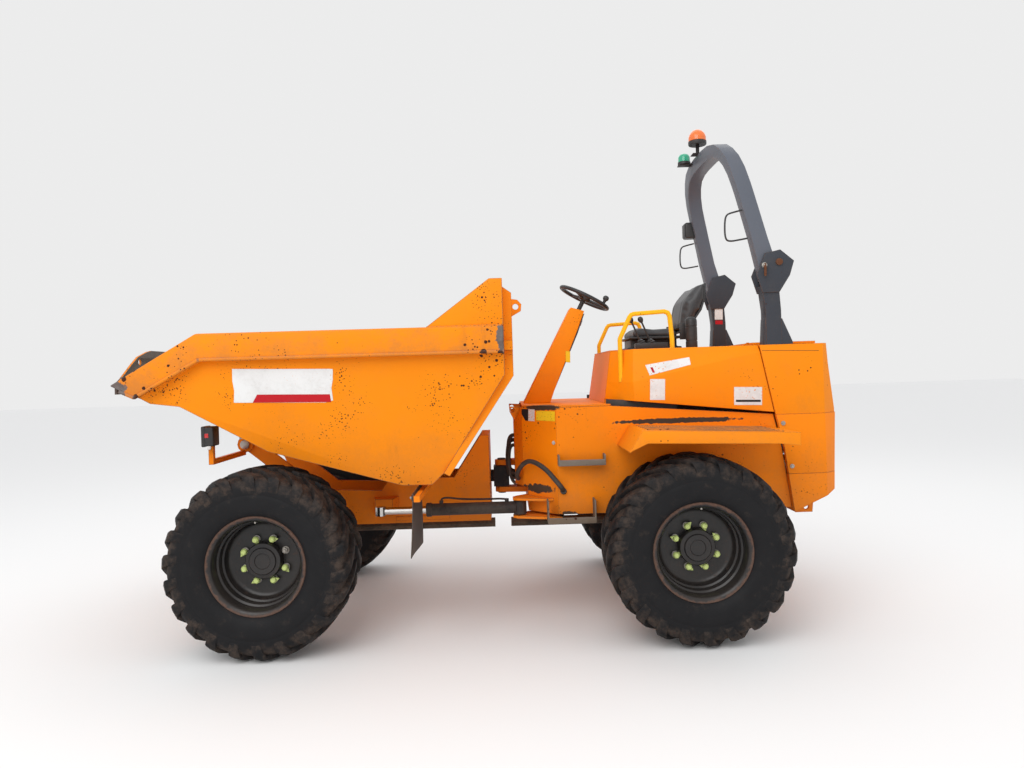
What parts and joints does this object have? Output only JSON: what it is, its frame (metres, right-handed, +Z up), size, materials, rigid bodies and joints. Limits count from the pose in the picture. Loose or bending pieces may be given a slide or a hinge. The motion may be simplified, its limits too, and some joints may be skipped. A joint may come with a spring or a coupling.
{
  "type": "site dumper",
  "caption": "Articulated four-wheel site dumper with a forward-tipping skip, folding roll-over hoop, open driver seat and lugged tyres.",
  "frame": {"origin": "on the ground under the middle of the overall box", "axes": "+X forward to the skip, +Y to the driver's left, +Z up"},
  "size_m": [4.637, 2.45, 3.495],
  "materials": {
    "axle_black": "oily",
    "beacon_orange": "gloss",
    "black_plastic": "matte",
    "black_steel": "satin",
    "flap_rubber": "matte",
    "hoop_grey": "satin",
    "lamp_green": "gloss",
    "lamp_red": "gloss",
    "muddy_steel": "worn, muddy",
    "orange_paint": "gloss, scratched and chipped",
    "polished_rod": "polished",
    "rail_yellow": "gloss",
    "rim_black": "worn paint, rusty flange",
    "seat_vinyl": "satin vinyl",
    "tyre": "matte, muddy"
  },
  "bodies": {
    "rear_frame": {"air_cleaner": "black_plastic", "control_levers": "black_plastic", "deck_plate": "muddy_steel", "engine": "axle_black", "engine_cover": "orange_paint", "fenders": "orange_paint", "handrails": "rail_yellow", "prop_rear": "axle_black", "rear_axle": "axle_black", "rear_chassis": "orange_paint", "rear_grille": "black_steel", "rear_lamps": "lamp_red", "rear_shell": "orange_paint", "rear_weight": "orange_paint", "rops_legs": "hoop_grey", "seat_back": "seat_vinyl", "seat_base": "black_plastic", "seat_cushion": "seat_vinyl", "side_covers": "orange_paint", "steering_column": "orange_paint", "steps": "muddy_steel", "tail_casing": "orange_paint", "tow_jaw": "orange_paint"},
    "hood_lid": {"hood_lid": "orange_paint"},
    "rops_hoop": {"rops_hoop": "hoop_grey", "lamp_bracket": "black_steel", "beacon": "beacon_orange", "green_light": "lamp_green"},
    "steering_wheel": {"steering_wheel": "black_plastic"},
    "centre_pivot": {"centre_pivot": "orange_paint"},
    "front_frame": {"front_axle": "axle_black", "front_chassis": "orange_paint", "headlamps": "black_plastic", "mud_flaps": "flap_rubber", "prop_front": "axle_black", "skip_pin": "black_steel", "steer_bracket": "orange_paint"},
    "steer_barrel": {"steer_barrel": "black_steel"},
    "steer_rod": {"steer_rod": "polished_rod"},
    "tip_barrel": {"tip_barrel": "black_steel"},
    "tip_rod": {"tip_rod": "polished_rod"},
    "skip": {"skip": "orange_paint", "skip_band": "orange_paint", "skip_gables": "orange_paint", "skip_ribs": "orange_paint"},
    "wheel_front_left": {"tyre_front_left": "tyre", "rim_front_left": "rim_black"},
    "wheel_front_right": {"tyre_front_right": "tyre", "rim_front_right": "rim_black"},
    "wheel_rear_left": {"tyre_rear_left": "tyre", "rim_rear_left": "rim_black"},
    "wheel_rear_right": {"tyre_rear_right": "tyre", "rim_rear_right": "rim_black"}
  },
  "joints": [
    {"name": "articulation", "type": "hinge", "parent": "rear_frame", "child": "centre_pivot", "pos_m": [-0.05, 0, 0.93], "axis": [0, 0, 1], "range_deg": [-30, 30]},
    {"name": "oscillation", "type": "hinge", "parent": "centre_pivot", "child": "front_frame", "pos_m": [-0.05, 0, 0.93], "axis": [1, 0, 0], "range_deg": [-10, 10]},
    {"name": "skip_tip", "type": "hinge", "parent": "front_frame", "child": "skip", "pos_m": [1.785, 0, 1.245], "axis": [0, 1, 0], "range_deg": [0, 60]},
    {"name": "steer_barrel_swing", "type": "hinge", "parent": "rear_frame", "child": "steer_barrel", "pos_m": [-0.173, 0.52, 0.775], "axis": [0, 0, 1], "range_deg": [-33, 33]},
    {"name": "steer_rod_slide", "type": "slide", "parent": "steer_barrel", "child": "steer_rod", "axis": [1, 0, 0], "range_m": [-0.3, 0.3]},
    {"name": "tip_barrel_swing", "type": "hinge", "parent": "front_frame", "child": "tip_barrel", "pos_m": [0.33, 0, 0.76], "axis": [0, -1, 0], "range_deg": [0, 25]},
    {"name": "tip_rod_slide", "type": "slide", "parent": "tip_barrel", "child": "tip_rod", "axis": [0.917, 0, 0.3989], "range_m": [0, 0.6]},
    {"name": "rops_fold", "type": "hinge", "parent": "rear_frame", "child": "rops_hoop", "pos_m": [-1.94, 0, 2.38], "axis": [0, -1, 0], "range_deg": [0, 115]},
    {"name": "hood_lid_hinge", "type": "hinge", "parent": "rear_frame", "child": "hood_lid", "pos_m": [-1.804, 0, 1.847], "axis": [0, -1, 0], "range_deg": [-60, 0]},
    {"name": "steering_wheel_turn", "type": "hinge", "parent": "rear_frame", "child": "steering_wheel", "pos_m": [-0.672, 0, 2.166], "axis": [-0.46, 0, 0.8879], "continuous": true},
    {"name": "wheel_front_left_spin", "type": "hinge", "parent": "front_frame", "child": "wheel_front_left", "pos_m": [1.44, 0.975, 0.578], "axis": [0, 1, 0], "continuous": true},
    {"name": "wheel_front_right_spin", "type": "hinge", "parent": "front_frame", "child": "wheel_front_right", "pos_m": [1.44, -0.975, 0.578], "axis": [0, 1, 0], "continuous": true},
    {"name": "wheel_rear_left_spin", "type": "hinge", "parent": "rear_frame", "child": "wheel_rear_left", "pos_m": [-1.26, 0.975, 0.578], "axis": [0, 1, 0], "continuous": true},
    {"name": "wheel_rear_right_spin", "type": "hinge", "parent": "rear_frame", "child": "wheel_rear_right", "pos_m": [-1.26, -0.975, 0.578], "axis": [0, 1, 0], "continuous": true}
  ],
  "couplings": [
    {"joint": "steer_barrel_swing", "follows": "articulation", "ratio": 0.9076},
    {"joint": "steer_rod_slide", "follows": "articulation", "m_per_rad": -0.5033},
    {"joint": "tip_barrel_swing", "follows": "skip_tip", "ratio": 0.3681},
    {"joint": "tip_rod_slide", "follows": "skip_tip", "m_per_rad": 0.5391}
  ]
}
